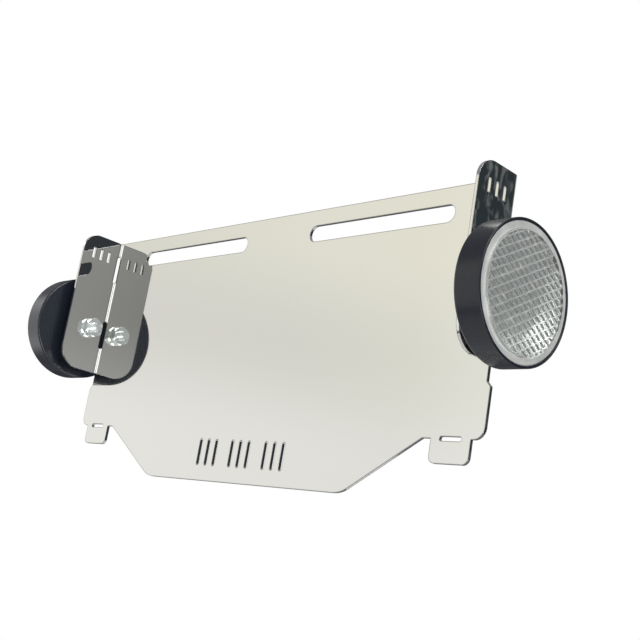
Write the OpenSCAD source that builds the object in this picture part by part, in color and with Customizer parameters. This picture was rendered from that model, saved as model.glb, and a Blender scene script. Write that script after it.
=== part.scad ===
// Licence plate holder for a motorcycle: one folded, polished stainless sheet with a round lamp
// bolted to the outer side of each ear.
// X runs to the right as seen from the front, Y runs rearward and Z runs up.
// The origin is midway between the two top slots, on the rear face of the sheet.

/* [Sheet] */
// Overall width across the outer faces of the two ears
overall_w = 282; // [262:2:320]
// Thickness of the sheet
sheet_t = 1.5; // [1:0.1:2]
// Inside radius of the two bends
bend_r = 1.5; // [1:0.1:2]
// Height of the top edge above the centre line of the top slots
top_rise = 12; // [9:0.5:16]
// Depth of the shoulder line below the centre line of the top slots
shoulder_drop = 96; // [94:1:110]
// Radius of the two shoulder corners
shoulder_r = 5; // [2:0.5:6]

/* [Skirt] */
// Width of the skirt where it leaves the shoulder line
skirt_top_w = 221; // [190:1:226]
// Width of the skirt's bottom edge
skirt_w = 139; // [110:1:170]
// Height of the skirt below the shoulder line
skirt_h = 25; // [18:1:32]
// Radius of the skirt's two bottom corners
skirt_r = 16; // [6:1:20]

/* [Top slots] */
// Distance between the centres of the two top slots
slot_spacing = 134; // [110:1:140]
// End-to-end length of each top slot
slot_l = 88; // [60:1:96]
// Width of each top slot
slot_w = 8; // [6:0.5:10]

/* [Tabs] */
// Distance between the centre lines of the two bottom tabs
tab_spacing = 250; // [246:0.5:250]
// Width of each tab
tab_w = 20; // [16:0.5:20]
// Height of each tab
tab_h = 10; // [7:0.5:14]
// Radius of the free corners of each tab
tab_r = 3; // [1:0.5:4]
// Length of the slot on each tab's bend line
tab_slot_l = 11; // [8:0.5:13]
// Width of the slot on each tab's bend line
tab_slot_w = 1.8; // [1.2:0.1:2.4]

/* [Ears] */
// Reach of each ear in front of the sheet's front face
ear_depth = 24; // [22:0.5:30]
// Height of each ear
ear_h = 78; // [76:1:84]
// Radius of each ear's upper free corner
ear_top_r = 9; // [2:0.5:12]
// Radius of each ear's lower free corner
ear_foot_r = 12; // [2:0.5:13]
// Height of the bend relief below each ear
relief_h = 7; // [3:0.5:9]
// Depth of the bend relief, in from the outer face of the ear
relief_in = 2; // [1:0.1:3]
// Length of each slot along the bend line
bend_slot_l = 16; // [10:0.5:18]
// Width of each slot along the bend line
bend_slot_w = 2; // [1.4:0.1:2.4]
// Distance from the top edge to the start of the upper bend slot
bend_slot_1 = 8; // [6:0.5:12]
// Distance from the top edge to the start of the lower bend slot
bend_slot_2 = 47.5; // [40:0.5:50]

/* [Slits] */
// Number of slit groups in the skirt
slit_groups = 3; // [1:1:3]
// Number of slits in each group
slits_in_group = 3; // [2:1:4]
// Distance between the centres of two slit groups
slit_group_pitch = 24; // [22:1:30]
// Distance between two slits of a group
slit_pitch = 6; // [4:0.5:6]
// Width of each slit in the skirt
slit_w = 2; // [1.5:0.1:3]
// Length of each slit in the skirt
slit_l = 13; // [8:0.5:14]
// Distance from the shoulder line down to the centre of the slits
slit_drop = 11; // [8:0.5:14]
// Width of each slit in the ears
ear_slit_w = 1.8; // [1:0.1:2.4]
// Length of each slit in the ears
ear_slit_l = 6.5; // [4:0.5:8]
// Distance between two slits of an ear
ear_slit_pitch = 5; // [3.5:0.5:5]
// Distance from the top edge down to the centre of the ear's slits
ear_slit_drop = 10.5; // [9:0.5:14]

/* [Lamp position] */
// Distance of the lamp axis in front of the sheet's front face
lamp_forward = 9.3; // [9.3:0.1:13]
// Distance of the lamp axis below the top edge
lamp_drop = 53.5; // [52:0.5:56]

/* [Lamp housing] */
// Outer diameter of the lamp housing
lamp_d = 57; // [56:0.5:70]
// Depth of the housing from its back face to its front lip
shell_depth = 12; // [9.2:0.1:14]
// Thickness of the housing's side wall round the lens
shell_wall = 1; // [0.8:0.1:2]
// Thickness of the housing's back wall
back_wall = 1.6; // [1.4:0.1:1.8]
// Radius of the housing's rear outer edge
shell_edge_r = 1; // [0.4:0.1:1.4]
// Width of the ledge that carries the lens
ledge_w = 2.3; // [1.8:0.1:2.8]
// Diameter of the boss on the back of the housing
boss_d = 16; // [13:0.5:18]
// Height of the boss on the back of the housing
boss_h = 3.9; // [3:0.1:8]
// Diameter of the rubber pad between boss and ear
pad_d = 18; // [14:0.5:18]
// Thickness of the rubber pad between boss and ear
pad_t = 2; // [1:0.1:3]
// Diameter of the hole for the wires in the housing's back wall
wire_hole_d = 3; // [2:0.1:4]
// Distance of the wires' hole below the lamp axis
wire_hole_drop = 14; // [12:0.5:17]

/* [Lens] */
// Thickness of the lens's outer ring
lens_t = 1.9; // [1.5:0.1:2.1]
// Depth of the lens's outer ring below the housing's lip
lens_recess = 0.3; // [0.2:0.1:0.9]
// Diameter of the raised, fluted field
optic_d = 48.5; // [40:0.5:50]
// Height of the fluted field's base above the outer ring
optic_h = 0.6; // [0.3:0.1:1]
// Distance between two flutes
flute_pitch = 2.7; // [2.5:0.05:5]
// Angle of the flutes, turned from upright
flute_turn = 60; // [0:1:90]
// Height of each flute
flute_h = 0.5; // [0.3:0.05:0.8]
// Distance between two grooves across the flutes
row_pitch = 3.25; // [2.5:0.05:5]
// Angle of the grooves, turned from level
row_turn = 30; // [0:1:90]
// Width of each groove
groove_w = 0.4; // [0.2:0.05:0.6]

/* [Lamp inside] */
// Thickness of the reflector's rim and of the seal under the lens
flange_t = 0.6; // [0.5:0.1:0.8]
// Width of the seal ring
seal_w = 1; // [0.8:0.1:1.2]
// Thickness of the reflector's floor
reflector_t = 0.5; // [0.4:0.1:0.6]
// Diameter of the reflector's flat floor
reflector_floor_d = 34; // [32:0.5:40]
// Diameter of the circuit board
board_d = 40; // [38:0.5:46]
// Thickness of the circuit board
board_t = 1; // [0.8:0.1:1.2]
// Height of the posts that carry the circuit board
post_h = 1.2; // [1.1:0.1:1.5]
// Diameter of the posts that carry the circuit board
post_d = 5; // [4:0.1:6]
// Distance between the two posts
post_spacing = 31; // [30:0.5:32]
// Number of light-emitting chips on each board
led_count = 6; // [3:1:8]
// Diameter of the circle of chips
led_circle_d = 20; // [18:0.5:21]
// Side length of each chip
led_side = 2.8; // [2:0.1:3]
// Height of each chip
led_h = 2.1; // [1.9:0.1:2.2]
// Length of each resistor
resistor_l = 3.2; // [2:0.1:3.4]
// Width of each resistor
resistor_w = 1.6; // [1:0.1:1.8]
// Height of each resistor
resistor_h = 0.6; // [0.4:0.1:0.7]

/* [Fasteners] */
// Diameter of each lamp's stud
stud_d = 6; // [5:0.5:7]
// Reach of the stud past the ear's inner face
stud_reach = 9.2; // [8.4:0.2:15]
// Diameter of the stud's head inside the housing
stud_head_d = 11; // [9:0.5:12]
// Thickness of the stud's head inside the housing
stud_head_t = 1; // [0.8:0.1:1]
// Diameter of each flat washer
washer_d = 11; // [10:0.5:12]
// Thickness of each flat washer
washer_t = 0.8; // [0.6:0.1:1.6]
// Width across the flats of each nut
nut_af = 10; // [8.5:0.5:11]
// Height of each nut
nut_h = 4.2; // [3.6:0.1:6]
// Diameter of each board screw's head
screw_head_d = 3.4; // [2.6:0.1:3.8]
// Height of each board screw's head
screw_head_h = 0.8; // [0.5:0.1:0.9]
// Diameter of each board screw's shank
screw_d = 1.7; // [1.4:0.1:2]
// Depth of each board screw in the back wall
screw_bite = 0.8; // [0.4:0.1:1]

/* [Clearances] */
// Gap round the stud in the ear, the washer and the pad
stud_gap = 0.25; // [0.1:0.05:0.4]
// Gap round the stud in the housing
shell_gap = 0.1; // [0.05:0.05:0.2]
// Gap between the stud and the nut's bore
thread_gap = 0.02; // [0.01:0.01:0.05]
// Gap round the lens, the seal and the reflector
seat_gap = 0.1; // [0.05:0.05:0.2]
// Gap round each chip in the reflector, and above the screw heads
led_gap = 0.3; // [0.2:0.05:0.35]

/* [Hidden] */
$fn = 64;
eps = 0.5;
half_w = overall_w / 2;
flat_half = half_w - sheet_t - bend_r;
ear_foot_z = top_rise - ear_h;
shoulder_z = -shoulder_drop;
tab_x = tab_spacing / 2;
lamp_y = -sheet_t - lamp_forward;
lamp_z = top_rise - lamp_drop;
w_back = pad_t + boss_h;
w_floor = w_back + back_wall;
w_lip = w_back + shell_depth;
w_lens = w_lip - lens_recess - lens_t;
w_ledge = w_lens - flange_t;
w_field = w_lens + lens_t + optic_h;
field_r = optic_d / 2;
lens_edge_r = lens_t / 4;
// The lens keeps a smooth ring round the field, and the housing grows with it where the field is set wide
lens_r = max(lamp_d / 2 - shell_wall - seat_gap, field_r + optic_h + 2 * lens_edge_r);
seat_r = lens_r + seat_gap;
shell_r = seat_r + shell_wall;
cavity_r = seat_r - ledge_w;
flute_r = (pow(flute_pitch / 2, 2) + pow(flute_h, 2)) / (2 * flute_h);
w_board = w_floor + post_h;
w_board_top = w_board + board_t;
w_reflector = w_board_top + screw_head_h + led_gap;
rim_r = seat_r - seal_w - seat_gap;
bowl_r = cavity_r - seat_gap;
led_hole_r = led_side / sqrt(2) + led_gap;
w_washer = -sheet_t;
w_nut = w_washer - washer_t;
w_tip = w_washer - stud_reach;

// Unit vector from one point to another
function towards(a, b) = (b - a) / norm(b - a);
// Half of the inner angle at corner i of an outline
function half_angle(p, i) =
    let (n = len(p), a = towards(p[i], p[(i + n - 1) % n]), b = towards(p[i], p[(i + 1) % n]))
    acos(a * b) / 2;
// The two points where a fillet of radius r meets the edges at corner i
function fillet_ends(p, r, i) =
    let (n = len(p), reach = r / tan(half_angle(p, i)))
    [p[i] + reach * towards(p[i], p[(i + n - 1) % n]), p[i] + reach * towards(p[i], p[(i + 1) % n])];
// The centre of that fillet
function fillet_centre(p, r, i) =
    let (ends = fillet_ends(p, r, i), middle = (ends[0] + ends[1]) / 2)
    p[i] + r / sin(half_angle(p, i)) * towards(p[i], middle);

// An outline whose convex corners are rounded by true arcs
module rounded(p, r) {
    cut = [for (i = [0 : len(p) - 1]) each (r[i] > 0 ? fillet_ends(p, r[i], i) : [p[i]])];
    polygon(cut);
    for (i = [0 : len(p) - 1])
        if (r[i] > 0)
            translate(fillet_centre(p, r[i], i))
                circle(r = r[i]);
}

// A slot with round ends, along X, cut through Z
module slot(l, w, h) {
    cube([l - w, w, h], center = true);
    for (s = [-1, 1])
        translate([s * (l - w) / 2, 0, 0])
            cylinder(d = w, h = h, center = true);
}

// Copies of a piece on both sides of the middle plane
module both_sides() {
    children();
    mirror([1, 0, 0])
        children();
}

// Moves a lamp piece from its own axis to the right ear: its Z becomes the outward direction
module at_right_ear() {
    translate([half_w, lamp_y, lamp_z])
        rotate([0, 90, 0])
            children();
}

module at_left_ear() {
    mirror([1, 0, 0])
        at_right_ear()
            children();
}

// Right half of the flat sheet's outline, from the top edge down to the skirt
function right_side() = [
    [flat_half, top_rise],
    [flat_half, ear_foot_z],
    [half_w - relief_in, ear_foot_z],
    [half_w - relief_in, ear_foot_z - relief_h],
    [half_w, ear_foot_z - relief_h - relief_in],
    [half_w, shoulder_z],
    [tab_x + tab_w / 2, shoulder_z],
    [tab_x + tab_w / 2, shoulder_z - tab_h],
    [tab_x - tab_w / 2, shoulder_z - tab_h],
    [tab_x - tab_w / 2, shoulder_z],
    [skirt_top_w / 2, shoulder_z],
    [skirt_w / 2, shoulder_z - skirt_h]];
right_radii = [0, 0, 0, 0, 0, shoulder_r, 0, tab_r, tab_r, 0, 0, skirt_r];

// The flat main plate, before its holes
module main_plate() {
    right = right_side();
    last = len(right) - 1;
    left = [for (i = [last : -1 : 0]) [-right[i][0], right[i][1]]];
    left_radii = [for (i = [last : -1 : 0]) right_radii[i]];
    rotate([90, 0, 0])
        linear_extrude(height = sheet_t)
            rounded(concat(right, left), concat(right_radii, left_radii));
}

// One bend, through a quarter turn
module bend() {
    translate([flat_half, -sheet_t - bend_r, ear_foot_z])
        rotate_extrude(angle = 90)
            translate([bend_r, 0])
                square([sheet_t, ear_h]);
}

// One ear, from the end of its bend to its free edge
module ear() {
    back = -sheet_t - bend_r;
    front = -sheet_t - ear_depth;
    outline = [[back, ear_foot_z], [back, top_rise], [front, top_rise], [front, ear_foot_z]];
    translate([half_w - sheet_t, 0, 0])
        rotate([90, 0, 90])
            linear_extrude(height = sheet_t)
                rounded(outline, [0, 0, ear_top_r, ear_foot_r]);
}

// A slot through the bend, at half its turn
module bend_slot(start) {
    translate([flat_half, -sheet_t - bend_r, top_rise - start - bend_slot_l / 2])
        rotate([0, 0, 45])
            translate([bend_r + sheet_t, 0, 0])
                rotate([0, 90, 0])
                    slot(bend_slot_l, bend_slot_w, 2 * (bend_r + sheet_t) - eps);
}

// A row of upright slits, centred, cut through Y
module slit_row(count, pitch, l, w, depth) {
    for (i = [0 : count - 1])
        translate([(i - (count - 1) / 2) * pitch, 0, 0])
            rotate([90, 0, 0])
                rotate([0, 0, 90])
                    slot(l, w, depth);
}

module plate_holder() {
    cut = 4 * sheet_t;
    color([0.82, 0.82, 0.8])
        difference() {
            union() {
                main_plate();
                both_sides() {
                    bend();
                    ear();
                }
            }
            both_sides() {
                translate([slot_spacing / 2, -sheet_t / 2, 0])
                    rotate([90, 0, 0])
                        slot(slot_l, slot_w, cut);
                translate([tab_x, -sheet_t / 2, shoulder_z])
                    rotate([90, 0, 0])
                        slot(tab_slot_l, tab_slot_w, cut);
                bend_slot(bend_slot_1);
                bend_slot(bend_slot_2);
                at_right_ear()
                    translate([0, 0, -sheet_t / 2])
                        cylinder(d = stud_d + 2 * stud_gap, h = cut, center = true);
                translate([half_w - sheet_t / 2, -sheet_t - ear_depth / 2, top_rise - ear_slit_drop])
                    rotate([0, 0, 90])
                        slit_row(3, ear_slit_pitch, ear_slit_l, ear_slit_w, cut);
            }
            for (i = [0 : slit_groups - 1])
                translate([(i - (slit_groups - 1) / 2) * slit_group_pitch, -sheet_t / 2,
                    shoulder_z - slit_drop])
                    slit_row(slits_in_group, slit_pitch, slit_l, slit_w, cut);
        }
}

// The lamp's cup, with its boss behind and the posts of the circuit board inside
module housing() {
    bore_r = stud_d / 2 + shell_gap;
    section = [
        [bore_r, pad_t],
        [boss_d / 2, pad_t],
        [boss_d / 2, w_back],
        [shell_r, w_back],
        [shell_r, w_lip],
        [seat_r, w_lip],
        [seat_r, w_ledge],
        [cavity_r, w_ledge],
        [cavity_r, w_floor],
        [bore_r, w_floor]];
    color([0.1, 0.1, 0.11])
        difference() {
            union() {
                rotate_extrude()
                    rounded(section, [0, 0, 0, shell_edge_r, shell_wall / 4, 0, 0, 0, 0, 0]);
                for (s = [-1, 1])
                    translate([0, s * post_spacing / 2, w_floor - back_wall / 2])
                        cylinder(d = post_d, h = post_h + back_wall / 2);
            }
            for (s = [-1, 1])
                translate([0, s * post_spacing / 2, w_floor - screw_bite])
                    cylinder(d = screw_d + 2 * thread_gap, h = post_h + screw_bite + eps);
            translate([wire_hole_drop, 0, w_back - eps])
                cylinder(d = wire_hole_d, h = back_wall + 2 * eps);
        }
}

// The flutes of the lens, cut into lozenges by the grooves that cross them
module flutes() {
    columns = floor(optic_d / flute_pitch);
    rows = floor(optic_d / row_pitch);
    margin = flute_h / 2;
    difference() {
        intersection() {
            union() {
                for (i = [0 : columns])
                    rotate([0, 0, flute_turn])
                        translate([0, (i - columns / 2) * flute_pitch, w_field + flute_h - flute_r])
                            rotate([0, 90, 0])
                                cylinder(r = flute_r, h = optic_d, center = true);
            }
            translate([0, 0, w_field - optic_h / 2])
                cylinder(r = field_r - margin, h = optic_h / 2 + flute_h + eps);
        }
        for (i = [0 : rows])
            rotate([0, 0, row_turn])
                translate([(i - rows / 2) * row_pitch, 0, w_field + flute_h / 2 + eps / 2])
                    cube([groove_w, optic_d + 2, flute_h + eps], center = true);
    }
}

// The clear lens: a smooth outer ring, a step, and the raised field of flutes
module lens() {
    ring = w_lens + lens_t;
    section = [
        [0, w_lens],
        [lens_r, w_lens],
        [lens_r, ring],
        [field_r + optic_h, ring],
        [field_r, w_field],
        [0, w_field]];
    color([0.85, 0.87, 0.88, 0.5])
        union() {
            rotate_extrude()
                rounded(section, [0, 0, lens_edge_r, 0, 0, 0]);
            flutes();
        }
}

// The rubber ring that the lens presses on its ledge
module lens_seal() {
    color([0.08, 0.08, 0.08])
        translate([0, 0, w_ledge])
            difference() {
                cylinder(r = seat_r - seat_gap / 2, h = flange_t);
                translate([0, 0, -eps])
                    cylinder(r = seat_r - seal_w, h = flange_t + 2 * eps);
            }
}

// The shallow bright bowl under the lens, with a hole for each chip
module reflector() {
    floor_r = reflector_floor_d / 2;
    lean = reflector_t / 2;
    section = [
        [0, w_reflector],
        [floor_r, w_reflector],
        [bowl_r, w_ledge],
        [rim_r, w_ledge],
        [rim_r, w_lens],
        [bowl_r - lean, w_lens],
        [floor_r - lean, w_reflector + reflector_t],
        [0, w_reflector + reflector_t]];
    color([0.75, 0.75, 0.77])
        difference() {
            rotate_extrude()
                polygon(section);
            led_places()
                translate([0, 0, w_reflector - eps])
                    cylinder(r = led_hole_r, h = reflector_t + 2 * eps);
        }
}

// Puts a copy at the place of each chip
module led_places() {
    for (i = [0 : led_count - 1])
        rotate([0, 0, i * 360 / led_count])
            translate([led_circle_d / 2, 0, 0])
                children();
}

module led_board() {
    color([0.9, 0.9, 0.88])
        translate([0, 0, w_board])
            difference() {
                cylinder(d = board_d, h = board_t);
                for (s = [-1, 1])
                    translate([0, s * post_spacing / 2, -eps])
                        cylinder(d = screw_d + 2 * seat_gap, h = board_t + 2 * eps);
            }
}

module leds() {
    color([0.95, 0.9, 0.5])
        led_places()
            translate([-led_side / 2, -led_side / 2, w_board_top])
                cube([led_side, led_side, led_h]);
}

// The resistors lie on the board outside the circle of chips
module lamp_resistors() {
    for (s = [-1, 1])
        translate([s * (board_d + led_circle_d) / 4 - resistor_w / 2 + s * led_side / 2,
            -resistor_l / 2, w_board_top])
            cube([resistor_w, resistor_l, resistor_h]);
}

// The lamp's stud: its head lies on the housing's floor, its tip reaches past the nut
module stud() {
    tip_bevel = stud_d / 10;
    section = [
        [0, w_tip],
        [stud_d / 2 - tip_bevel, w_tip],
        [stud_d / 2, w_tip + tip_bevel],
        [stud_d / 2, w_floor],
        [stud_head_d / 2, w_floor],
        [stud_head_d / 2, w_floor + stud_head_t],
        [0, w_floor + stud_head_t]];
    color([0.75, 0.77, 0.8])
        rotate_extrude()
            polygon(section);
}

module mount_pad() {
    color([0.07, 0.07, 0.07])
        difference() {
            cylinder(d = pad_d, h = pad_t);
            translate([0, 0, -eps])
                cylinder(d = stud_d + 2 * stud_gap, h = pad_t + 2 * eps);
        }
}

// A small pan-head screw that holds the board on its post
module board_screw() {
    rotate_extrude()
        polygon([
            [0, w_floor - screw_bite],
            [screw_d / 2, w_floor - screw_bite],
            [screw_d / 2, w_board_top],
            [screw_head_d / 2, w_board_top],
            [screw_head_d / 2, w_board_top + screw_head_h / 2],
            [screw_head_d / 2 - screw_head_h / 2, w_board_top + screw_head_h],
            [0, w_board_top + screw_head_h]]);
}

module lamp_screws() {
    for (s = [-1, 1])
        translate([0, s * post_spacing / 2, 0])
            board_screw();
}

module washer() {
    translate([0, 0, w_washer - washer_t])
        difference() {
            cylinder(d = washer_d, h = washer_t);
            translate([0, 0, -eps])
                cylinder(d = stud_d + 2 * stud_gap, h = washer_t + 2 * eps);
        }
}

// A hexagon nut, bevelled at both ends, with two corners up and down
module nut() {
    corner_r = nut_af / sqrt(3);
    bevel = corner_r - nut_af / 2;
    translate([0, 0, w_nut - nut_h])
        difference() {
            intersection() {
                cylinder(r = corner_r, h = nut_h, $fn = 6);
                rotate_extrude()
                    polygon([
                        [0, 0],
                        [corner_r - bevel, 0],
                        [corner_r + bevel, bevel],
                        [corner_r + bevel, nut_h - bevel],
                        [corner_r - bevel, nut_h],
                        [0, nut_h]]);
            }
            translate([0, 0, -eps])
                cylinder(d = stud_d + 2 * thread_gap, h = nut_h + 2 * eps);
        }
}

module resistors() {
    color([0.15, 0.15, 0.16]) {
        at_right_ear() lamp_resistors();
        at_left_ear() lamp_resistors();
    }
}

module board_screws() {
    color([0.7, 0.7, 0.72]) {
        at_right_ear() lamp_screws();
        at_left_ear() lamp_screws();
    }
}

module washers() {
    color([0.74, 0.76, 0.8]) {
        at_right_ear() washer();
        at_left_ear() washer();
    }
}

module nuts() {
    color([0.76, 0.78, 0.82]) {
        at_right_ear() nut();
        at_left_ear() nut();
    }
}

plate_holder();
at_right_ear() housing();  // right_housing
at_right_ear() lens();  // right_lens
at_right_ear() lens_seal();  // right_lens_seal
at_right_ear() reflector();  // right_reflector
at_right_ear() led_board();  // right_led_board
at_right_ear() leds();  // right_leds
at_right_ear() stud();  // right_stud
at_right_ear() mount_pad();  // right_mount_pad
at_left_ear() housing();  // left_housing
at_left_ear() lens();  // left_lens
at_left_ear() lens_seal();  // left_lens_seal
at_left_ear() reflector();  // left_reflector
at_left_ear() led_board();  // left_led_board
at_left_ear() leds();  // left_leds
at_left_ear() stud();  // left_stud
at_left_ear() mount_pad();  // left_mount_pad
resistors();
board_screws();
washers();
nuts();
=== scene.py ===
"""Looks of the licence plate holder.

Polished sheet, black lamp shells, fluted lenses and zinc fasteners.
"""

import math

import bpy
from mathutils import Matrix, Vector


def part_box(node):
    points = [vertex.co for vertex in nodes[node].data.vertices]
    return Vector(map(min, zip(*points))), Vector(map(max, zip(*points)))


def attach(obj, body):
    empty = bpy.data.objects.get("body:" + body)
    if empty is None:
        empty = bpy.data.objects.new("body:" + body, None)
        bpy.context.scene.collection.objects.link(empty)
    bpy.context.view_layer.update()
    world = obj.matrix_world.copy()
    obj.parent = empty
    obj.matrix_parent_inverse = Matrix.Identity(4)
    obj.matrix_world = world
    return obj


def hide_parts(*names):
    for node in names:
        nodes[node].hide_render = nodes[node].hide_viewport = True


MM = 0.001
PHOTO_SIDE_PX = 640

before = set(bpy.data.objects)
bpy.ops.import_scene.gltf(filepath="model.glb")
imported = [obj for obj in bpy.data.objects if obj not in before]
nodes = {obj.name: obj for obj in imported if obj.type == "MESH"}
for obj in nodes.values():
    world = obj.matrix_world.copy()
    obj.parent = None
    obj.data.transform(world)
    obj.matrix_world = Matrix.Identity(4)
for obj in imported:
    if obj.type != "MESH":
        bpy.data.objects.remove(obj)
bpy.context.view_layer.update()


def mm(*values):
    """A point given in millimetres, as a vector in metres."""
    return Vector(values) * MM


# Camera

CAMERA_AT = mm(392.4, -328.5, -154.4)
CAMERA_RIGHT = Vector((0.69807, 0.69725, 0.16292))
CAMERA_UP = Vector((0.04891, -0.27344, 0.96065))
FOCAL_PX = 1078.3
SENSOR_MM = 36.0


def make_camera():
    data = bpy.data.cameras.new("camera")
    data.sensor_width = SENSOR_MM
    data.lens = FOCAL_PX / PHOTO_SIDE_PX * SENSOR_MM
    data.clip_start = 0.01
    data.clip_end = 50
    camera = bpy.data.objects.new("camera", data)
    bpy.context.scene.collection.objects.link(camera)
    back = CAMERA_RIGHT.cross(CAMERA_UP)
    turn = Matrix((CAMERA_RIGHT, CAMERA_UP, back)).transposed()
    camera.matrix_world = Matrix.Translation(CAMERA_AT) @ turn.to_4x4()
    bpy.context.scene.camera = camera


# Shader helpers


class Shader:
    """A node tree with short calls for the nodes that the materials use."""

    def __init__(self, owner):
        owner.use_nodes = True
        self.tree = owner.node_tree
        self.tree.nodes.clear()

    def node(self, kind, settings=None, **inputs):
        made = self.tree.nodes.new(kind)
        for key, value in (settings or {}).items():
            setattr(made, key, value)
        for key, value in inputs.items():
            self.put(made, key.replace("_", " "), value)
        return made

    def put(self, made, key, value):
        socket = made.inputs[int(key)] if key.isdigit() else made.inputs[key]
        if isinstance(value, bpy.types.NodeSocket):
            self.tree.links.new(value, socket)
        else:
            socket.default_value = value

    def math(self, operation, a, b=0.0, c=0.0, clamp=False):
        made = self.tree.nodes.new("ShaderNodeMath")
        made.operation = operation
        made.use_clamp = clamp
        for index, value in enumerate((a, b, c)):
            self.put(made, str(index), value)
        return made.outputs[0]

    def step(self, value, low, high):
        """Rises smoothly from 0 at low to 1 at high, or falls where low is the larger."""
        made = self.tree.nodes.new("ShaderNodeMapRange")
        made.interpolation_type = "SMOOTHSTEP"
        rising = high > low
        self.put(made, "Value", value)
        self.put(made, "From Min", min(low, high))
        self.put(made, "From Max", max(low, high))
        self.put(made, "To Min", 0.0 if rising else 1.0)
        self.put(made, "To Max", 1.0 if rising else 0.0)
        return made.outputs["Result"]

    def band(self, value, low, full, full_end, end):
        """1 from full to full_end, falling smoothly to 0 at low and at end."""
        return self.math("MULTIPLY", self.step(value, low, full), self.step(value, end, full_end))

    def ramp(self, factor, stops):
        made = self.tree.nodes.new("ShaderNodeValToRGB")
        made.color_ramp.interpolation = "LINEAR"
        elements = made.color_ramp.elements
        while len(elements) > 1:
            elements.remove(elements[-1])
        for index, (place, colour) in enumerate(stops):
            element = elements[0] if index == 0 else elements.new(place)
            element.position = place
            element.color = (*colour, 1.0)
        self.put(made, "Fac", factor)
        return made.outputs["Color"]

    def mix(self, factor, a, b):
        made = self.tree.nodes.new("ShaderNodeMix")
        made.data_type = "RGBA"
        self.put(made, "0", factor)
        for index, value in ((6, a), (7, b)):
            colour = value if isinstance(value, bpy.types.NodeSocket) else (*value, 1.0)
            self.put(made, str(index), colour)
        return made.outputs[2]

    def place(self):
        """The point on the surface, in the row frame, in metres."""
        return self.tree.nodes.new("ShaderNodeTexCoord").outputs["Object"]

    def vector_math(self, operation, *values):
        made = self.node("ShaderNodeVectorMath", {"operation": operation})
        for index, value in enumerate(values):
            self.put(made, str(index), value)
        return made.outputs

    def part(self, vector, axis):
        """One coordinate of a vector."""
        return self.node("ShaderNodeSeparateXYZ", Vector=vector).outputs[axis]

    def rounding(self, radius_mm, samples=6):
        """The surface's normal as if its edges were rounded by that radius."""
        return self.node("ShaderNodeBevel", {"samples": samples}, Radius=radius_mm * MM).outputs[0]

    def turned_edge(self, radius_mm, full):
        """Rises to 1 beside an edge. full is the cosine of the turn at which it gets there."""
        normal = self.node("ShaderNodeNewGeometry").outputs["Normal"]
        cosine = self.vector_math("DOT_PRODUCT", self.rounding(radius_mm, 8), normal)["Value"]
        return self.step(cosine, EDGE_START, full)

    def noise(self, size_mm, detail=3.0, stretch=(1, 1, 1), rotation=(0, 0, 0), distortion=0.0):
        """Noise whose features are about size_mm long."""
        scaled = self.node(
            "ShaderNodeMapping", Vector=self.place(), Rotation=rotation, Scale=stretch
        )
        made = self.node(
            "ShaderNodeTexNoise",
            Vector=scaled.outputs[0],
            Scale=1 / (size_mm * MM),
            Detail=detail,
            Distortion=distortion,
        )
        return made.outputs["Fac"]

    def bump(self, height, distance_mm, strength=1.0, normal=None):
        made = self.node(
            "ShaderNodeBump", Height=height, Distance=distance_mm * MM, Strength=strength
        )
        if normal is not None:
            self.put(made, "Normal", normal)
        return made.outputs[0]


def material(name, colour, metallic=0.0, roughness=0.4, **settings):
    """A principled material, its shader helper and its surface node."""
    made = bpy.data.materials.new(name)
    shader = Shader(made)
    surface = shader.node(
        "ShaderNodeBsdfPrincipled", Metallic=metallic, Roughness=roughness, **settings
    )
    output = shader.node("ShaderNodeOutputMaterial")
    shader.tree.links.new(surface.outputs[0], output.inputs["Surface"])
    surface.inputs["Base Color"].default_value = (*colour, 1.0)
    return made, shader, surface


# Meshes


def lathe(rows, segments, radius_at):
    """Vertices and faces of a closed turned shape along X.

    radius_at gives the radius for a row and a turn.
    """
    points = []
    for place in rows:
        for k in range(segments):
            turn = k / segments
            angle = 2 * math.pi * turn
            radius = radius_at(place, turn)
            points.append((place, radius * math.cos(angle), radius * math.sin(angle)))
    faces = []
    for row in range(len(rows) - 1):
        for k in range(segments):
            here = row * segments
            after = (k + 1) % segments
            faces.append((here + k, here + after, here + segments + after, here + segments + k))
    faces.append(tuple(range(segments))[::-1])
    faces.append(tuple(range((len(rows) - 1) * segments, len(rows) * segments)))
    return points, faces


def add_piece(name, points, faces, made, sharp_degrees=35):
    """A piece of the object from points in millimetres, on the root body."""
    mesh = bpy.data.meshes.new(name)
    mesh.from_pydata([mm(*point) for point in points], [], faces)
    mesh.shade_smooth()
    mesh.set_sharp_from_angle(angle=math.radians(sharp_degrees))
    mesh.materials.append(made)
    piece = bpy.data.objects.new(name, mesh)
    bpy.context.scene.collection.objects.link(piece)
    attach(piece, "root")
    return piece


def dress(made, *names):
    for name in names:
        slots = nodes[name].data.materials
        slots.clear()
        slots.append(made)


# Materials


SIDES = ("right_", "left_")

# Cosine of the turn at which an edge begins to show
EDGE_START = 0.998

SHEET_COLOUR = (0.82, 0.82, 0.80)
EDGE_ROUND_MM = 0.25
BURR_MM = 0.8
BURR_FULL = 0.96
BURR_SHARE = 0.9
BURR_COLOUR = (0.36, 0.36, 0.36)
SPECK_SPACING_MM = 13
SPECK_COLOUR = (0.35, 0.33, 0.3)
DUST_MM = 5
DUST_SHARE = 0.15

SHELL_ROUND_MM = 0.6

# Radius of the lens's fluted field: half of optic_d in part.scad
FIELD_R = 24.25
RIM_INSIDE = 0.2
RIM_OUTSIDE = 0.6
LENS_EDGE_MM = 0.22
LENS_EDGE_FULL = 0.93
EDGE_FROST = 0.5
CLEAR_SHARE = 0.89


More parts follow.
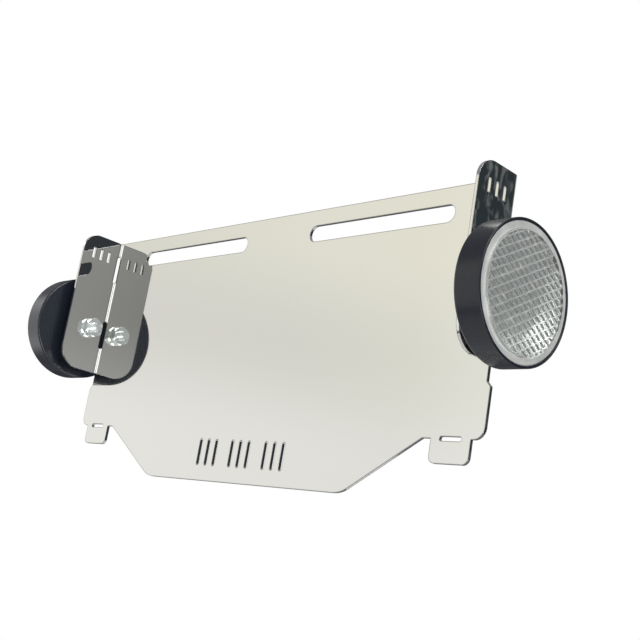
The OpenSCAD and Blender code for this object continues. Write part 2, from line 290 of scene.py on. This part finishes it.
def sheet_specks(shader):
    """Small specks, in about one out of four cells of a loose pattern."""
    cells = shader.node(
        "ShaderNodeTexVoronoi", Vector=shader.place(), Scale=1 / (SPECK_SPACING_MM * MM)
    )
    near = shader.step(cells.outputs["Distance"], 0.035, 0.02)
    chosen = shader.step(shader.part(cells.outputs["Color"], "X"), 0.72, 0.8)
    return shader.math("MULTIPLY", near, chosen)


def ear_dust(shader):
    """Clouds of dust on the outer face of the right ear alone."""
    clouds = shader.noise(DUST_MM, 5.0, (1, 1, 0.45), (0.9, 0, 0), 1.5)
    facing = shader.node("ShaderNodeNewGeometry").outputs["Normal"]
    sideways = shader.step(shader.part(facing, "X"), 0.6, 0.9)
    far_right = shader.step(shader.part(shader.place(), "X"), 0.1, 0.12)
    outer = shader.math("MULTIPLY", sideways, far_right)
    return shader.math("MULTIPLY", shader.step(clouds, 0.46, 0.72), outer)


def polished_sheet():
    made, shader, surface = material("polished_sheet", SHEET_COLOUR, 1.0, 0.04)
    waves = shader.noise(60, 1.0)
    marks = shader.noise(1.2, 4.0, (1, 1, 0.08))
    smudges = shader.noise(14, 4.0)
    shader.put(surface, "Roughness", shader.math("MULTIPLY_ADD", smudges, 0.05, 0.01))
    coarse = shader.bump(waves, 0.05, 0.3, shader.rounding(EDGE_ROUND_MM))
    shader.put(surface, "Normal", shader.bump(marks, 0.001, 0.15, coarse))
    clean = shader.mix(sheet_specks(shader), SHEET_COLOUR, SPECK_COLOUR)
    burr = shader.math("MULTIPLY", shader.turned_edge(BURR_MM, BURR_FULL), BURR_SHARE)
    shader.put(surface, "Base Color", shader.mix(burr, clean, BURR_COLOUR))
    metal = shader.math("MULTIPLY_ADD", ear_dust(shader), -DUST_SHARE, 1.0)
    shader.put(surface, "Metallic", metal)
    return made


def black_shell():
    made, shader, surface = material("black_shell", (0.010, 0.013, 0.021), 0.0, 0.3)
    grain = shader.noise(0.5)
    patches = shader.noise(9)
    shader.put(surface, "Roughness", shader.math("MULTIPLY_ADD", patches, 0.14, 0.2))
    shader.put(surface, "Normal", shader.bump(grain, 0.01, 0.15, shader.rounding(SHELL_ROUND_MM)))
    return made


def clear_lens():
    """Clear plastic, frosted outside the fluted field and at the flutes' edges."""
    made, shader, surface = material("clear_lens", (0.92, 0.94, 0.93), 0.0, 0.06, IOR=1.49)
    low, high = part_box("right_lens")
    centre = (0.0, (low[1] + high[1]) / 2, (low[2] + high[2]) / 2)
    out = shader.vector_math("SUBTRACT", shader.place(), centre)[0]
    across = shader.vector_math("MULTIPLY", out, (0.0, 1.0, 1.0))[0]
    radius = shader.vector_math("LENGTH", across)["Value"]
    rim = shader.step(radius, (FIELD_R - RIM_INSIDE) * MM, (FIELD_R + RIM_OUTSIDE) * MM)
    uneven = shader.math("MULTIPLY_ADD", shader.noise(7), 0.34, 0.20)
    rim_frost = shader.math("MULTIPLY", rim, uneven)
    edges = shader.turned_edge(LENS_EDGE_MM, LENS_EDGE_FULL)
    edge_frost = shader.math("MULTIPLY", edges, EDGE_FROST)
    frost = shader.math("MAXIMUM", rim_frost, edge_frost)
    clear = shader.math("MULTIPLY_ADD", frost, -1.0, CLEAR_SHARE)
    shader.put(surface, "Transmission Weight", clear)
    gloss = shader.math("MULTIPLY_ADD", shader.noise(3, 4.0), 0.06, 0.02)
    shader.put(surface, "Roughness", shader.math("MULTIPLY_ADD", rim, 0.15, gloss))
    return made


def plain(name, colour, metallic, roughness, grain_mm, depth_mm):
    """A material with a fine grain in its surface and a little variation in its gloss."""
    made, shader, surface = material(name, colour, metallic, roughness)
    grain = shader.noise(grain_mm, 4.0)
    shader.put(surface, "Roughness", shader.math("MULTIPLY_ADD", grain, 0.15, roughness - 0.07))
    shader.put(surface, "Normal", shader.bump(grain, depth_mm, 0.3))
    return made


def zinc():
    made, shader, surface = material("zinc", (0.86, 0.92, 0.92), 0.82, 0.2)
    grain = shader.noise(1.6)
    shader.put(surface, "Roughness", shader.math("MULTIPLY_ADD", grain, 0.12, 0.03))
    shader.put(surface, "Normal", shader.bump(grain, 0.12, 0.6))
    return made


# The piece of each lamp, and its material: name, colour, metallic, roughness, grain and depth in mm
LAMP_PIECES = (
    ("mount_pad", ("seal_rubber", (0.02, 0.02, 0.02), 0.0, 0.7, 0.6, 0.02)),
    ("lens_seal", ("pale_silicone", (0.72, 0.73, 0.71), 0.0, 0.6, 0.8, 0.02)),
    ("reflector", ("bright_bowl", (0.92, 0.93, 0.92), 0.9, 0.25, 2.0, 0.02)),
    ("led_board", ("white_board", (0.8, 0.8, 0.77), 0.0, 0.5, 0.5, 0.01)),
    ("leds", ("chip", (0.88, 0.86, 0.76), 0.0, 0.3, 0.5, 0.01)),
)


def both(piece):
    return [side + piece for side in SIDES]


def dress_nodes(bright_zinc):
    dress(polished_sheet(), "plate_holder")
    dress(black_shell(), *both("housing"))
    dress(clear_lens(), *both("lens"))
    for piece, look in LAMP_PIECES:
        dress(plain(*look), *both(piece))
    dress(plain("resistor_black", (0.03, 0.03, 0.03), 0.0, 0.5, 0.3, 0.01), "resistors")
    dress(bright_zinc, *both("stud"), "board_screws", "washers", "nuts")


# Threaded studs

THREAD_PITCH = 1.0
THREAD_DEPTH = 0.5
# Shares of one turn that the thread's flank and crest take
FLANK = 0.36
CREST = 0.14
THREAD_SEGMENTS = 48
# Rows of points to one pitch
THREAD_ROWS = 12
RUN_OUT = 0.2
LEAD_IN_SLOPE = 1.2
HEAD_T = 1.0
HEAD_CHAMFER = 0.15
# Length in which the shank steps out to the head
STEP_LENGTH = 0.001
STUD_R = 3.0
SHEET_T = 1.5


def thread_profile(turn):
    """Height of the thread, from 0 at its root to 1 at its crest, over one turn."""
    turn = turn % 1.0
    if turn < FLANK:
        return turn / FLANK
    if turn < FLANK + CREST:
        return 1.0
    if turn < 2 * FLANK + CREST:
        return (2 * FLANK + CREST - turn) / FLANK
    return 0.0


def threaded_stud(side, made):
    """The threaded stud, with the place, length and head of the plain stud that it replaces."""
    name = side + "stud"
    low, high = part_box(name)
    ear_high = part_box("plate_holder")[1]
    sign = 1 if low[0] > 0 else -1
    tip = min(abs(low[0]), abs(high[0])) / MM
    end = max(abs(low[0]), abs(high[0])) / MM
    axis_y = (low[1] + high[1]) / 2 / MM
    axis_z = (low[2] + high[2]) / 2 / MM
    head_r = (high[1] - low[1]) / 2 / MM
    thread_end = ear_high[0] / MM - SHEET_T
    count = int((thread_end - tip) / THREAD_PITCH * THREAD_ROWS)
    rows = [tip + (thread_end - tip) * k / count for k in range(count + 1)]
    rows += [thread_end + RUN_OUT, end - HEAD_T, end - HEAD_T + STEP_LENGTH]
    rows += [end - HEAD_CHAMFER, end]

    def radius_at(place, turn):
        if place <= thread_end:
            crest = STUD_R - THREAD_DEPTH * (1 - thread_profile(place / THREAD_PITCH + turn))
            return min(crest, STUD_R - 2 * THREAD_DEPTH + (place - tip) * LEAD_IN_SLOPE)
        if place <= end - HEAD_T:
            return STUD_R
        return head_r - (HEAD_CHAMFER if place == end else 0)

    points, faces = lathe(rows, THREAD_SEGMENTS, radius_at)
    points = [(sign * x, axis_y + y, axis_z + z) for x, y, z in points]
    if sign > 0:
        faces = [face[::-1] for face in faces]
    piece = add_piece(side + "stud_threaded", points, faces, made)
    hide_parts(name)


# Surroundings

# Brightness round the object by the angle from the front towards the right, low, middle and high.
# A stop with one colour has it at all three heights.
AROUND = (
    (-180, (0.40, 0.41, 0.42)),
    (-150, (0.14, 0.14, 0.15)),
    (-115, (0.07, 0.07, 0.08)),
    (-98, (0.34, 0.34, 0.35)),
    (-86, (0.42, 0.42, 0.43)),
    (-80, (2.1, 2.1, 2.15)),
    (-68, (2.1, 2.1, 2.15)),
    (-62, (0.96, 0.96, 0.94), (0.88, 0.87, 0.84), (0.90, 0.89, 0.82)),
    (-60, (0.94, 0.93, 0.90), (0.80, 0.785, 0.745), (0.83, 0.82, 0.73)),
    (-48, (0.91, 0.90, 0.87), (0.795, 0.785, 0.735), (0.89, 0.88, 0.785)),
    (-42, (0.89, 0.88, 0.85), (0.82, 0.82, 0.745), (0.91, 0.885, 0.775)),
    (-36, (0.96, 0.96, 0.93), (0.92, 0.92, 0.85), (0.95, 0.93, 0.83)),
    (-30, (0.70, 0.70, 0.66), (0.66, 0.66, 0.62), (0.70, 0.70, 0.62)),
    (-16, (0.36, 0.36, 0.36), (0.34, 0.34, 0.34), (0.34, 0.34, 0.34)),
    (14, (0.40, 0.40, 0.40), (0.38, 0.38, 0.38), (0.38, 0.38, 0.38)),
    (22, (2.2, 2.2, 2.2)),
    (32, (2.2, 2.2, 2.2)),
    (40, (0.50, 0.50, 0.51), (0.40, 0.40, 0.40), (0.40, 0.40, 0.40)),
    (56, (0.48, 0.485, 0.49), (0.295, 0.295, 0.29), (0.33, 0.335, 0.32)),
    (61, (0.49, 0.49, 0.50), (0.36, 0.36, 0.36), (0.38, 0.38, 0.375)),
    (75, (0.34, 0.34, 0.35), (0.30, 0.30, 0.31), (0.30, 0.30, 0.31)),
    (97, (0.05, 0.05, 0.055)),
    (135, (0.03, 0.035, 0.04), (0.03, 0.035, 0.04), (0.028, 0.037, 0.042)),
    (160, (0.03, 0.035, 0.04), (0.03, 0.035, 0.04), (0.03, 0.037, 0.042)),
    (180, (0.40, 0.41, 0.42)),
)
RING_HEIGHTS = (0.10, 0.20, 0.30)
OVERHEAD = (0.30, 0.30, 0.31)
OVERHEAD_HEIGHTS = (0.40, 0.54)
UNDERFOOT = (0.16, 0.16, 0.17)
UNDERFOOT_HEIGHTS = (-0.36, -0.50)

# Two soft boxes at the right, which light the lenses: where each rises to its full light and
# falls again, in degrees from the front towards the right and in height
LOW_BOX_ANGLES = (36, 48, 74, 84)
LOW_BOX_HEIGHTS = (-0.62, -0.52, -0.32, -0.24)
HIGH_BOX_ANGLES = (50, 70, 112, 124)
HIGH_BOX_HEIGHTS = (0.42, 0.50, 0.80, 0.90)
BOX_COLOUR = (5.9, 5.9, 5.7)


def share_of_round(degrees):
    """Where an angle from the front lies on the ramps, from 0 to 1."""
    return degrees / 360 + 0.5


def make_surroundings():
    world = bpy.data.worlds.new("studio")
    bpy.context.scene.world = world
    shader = Shader(world)
    direction = shader.node("ShaderNodeTexCoord").outputs["Generated"]
    split = shader.node("ShaderNodeSeparateXYZ", Vector=direction).outputs
    forward = shader.math("MULTIPLY", split["Y"], -1.0)
    angle = shader.math("ARCTAN2", split["X"], forward)
    turn = shader.math("MULTIPLY_ADD", angle, 1 / (2 * math.pi), 0.5)
    rings = []
    for ring in (1, 2, 3):
        stops = [(share_of_round(stop[0]), stop[min(ring, len(stop) - 1)]) for stop in AROUND]
        rings.append(shader.ramp(turn, stops))
    low, middle, high = RING_HEIGHTS
    colour = shader.mix(shader.step(split["Z"], low, middle), rings[0], rings[1])
    colour = shader.mix(shader.step(split["Z"], middle, high), colour, rings[2])
    colour = shader.mix(shader.step(split["Z"], *OVERHEAD_HEIGHTS), colour, OVERHEAD)
    colour = shader.mix(shader.step(split["Z"], *UNDERFOOT_HEIGHTS), colour, UNDERFOOT)
    boxes = ((LOW_BOX_ANGLES, LOW_BOX_HEIGHTS), (HIGH_BOX_ANGLES, HIGH_BOX_HEIGHTS))
    for angles, heights in boxes:
        sideways = shader.band(turn, *map(share_of_round, angles))
        box = shader.math("MULTIPLY", sideways, shader.band(split["Z"], *heights))
        colour = shader.mix(box, colour, BOX_COLOUR)
    seen = shader.node("ShaderNodeLightPath").outputs["Is Camera Ray"]
    colour = shader.mix(seen, colour, (1.0, 1.0, 1.0))
    background = shader.node("ShaderNodeBackground", Color=colour, Strength=1.0)
    output = shader.node("ShaderNodeOutputWorld")
    shader.tree.links.new(background.outputs[0], output.inputs["Surface"])


FLOOR_DROP = 0.8
FLOOR_HALF = 0.8


def make_floor():
    turns = ((-1, -1), (1, -1), (1, 1), (-1, 1))
    corners = [(x * FLOOR_HALF, y * FLOOR_HALF, -FLOOR_DROP) for x, y in turns]
    mesh = bpy.data.meshes.new("floor")
    mesh.from_pydata(corners, [], [(0, 1, 2, 3)])
    floor = bpy.data.objects.new("floor", mesh)
    bpy.context.scene.collection.objects.link(floor)
    mesh.materials.append(material("pale_floor", (0.8, 0.8, 0.79), 0.0, 0.8)[0])


bpy.context.scene.view_settings.view_transform = "Standard"
make_camera()
make_surroundings()
make_floor()
bright_zinc = zinc()
dress_nodes(bright_zinc)
for side in SIDES:
    threaded_stud(side, bright_zinc)
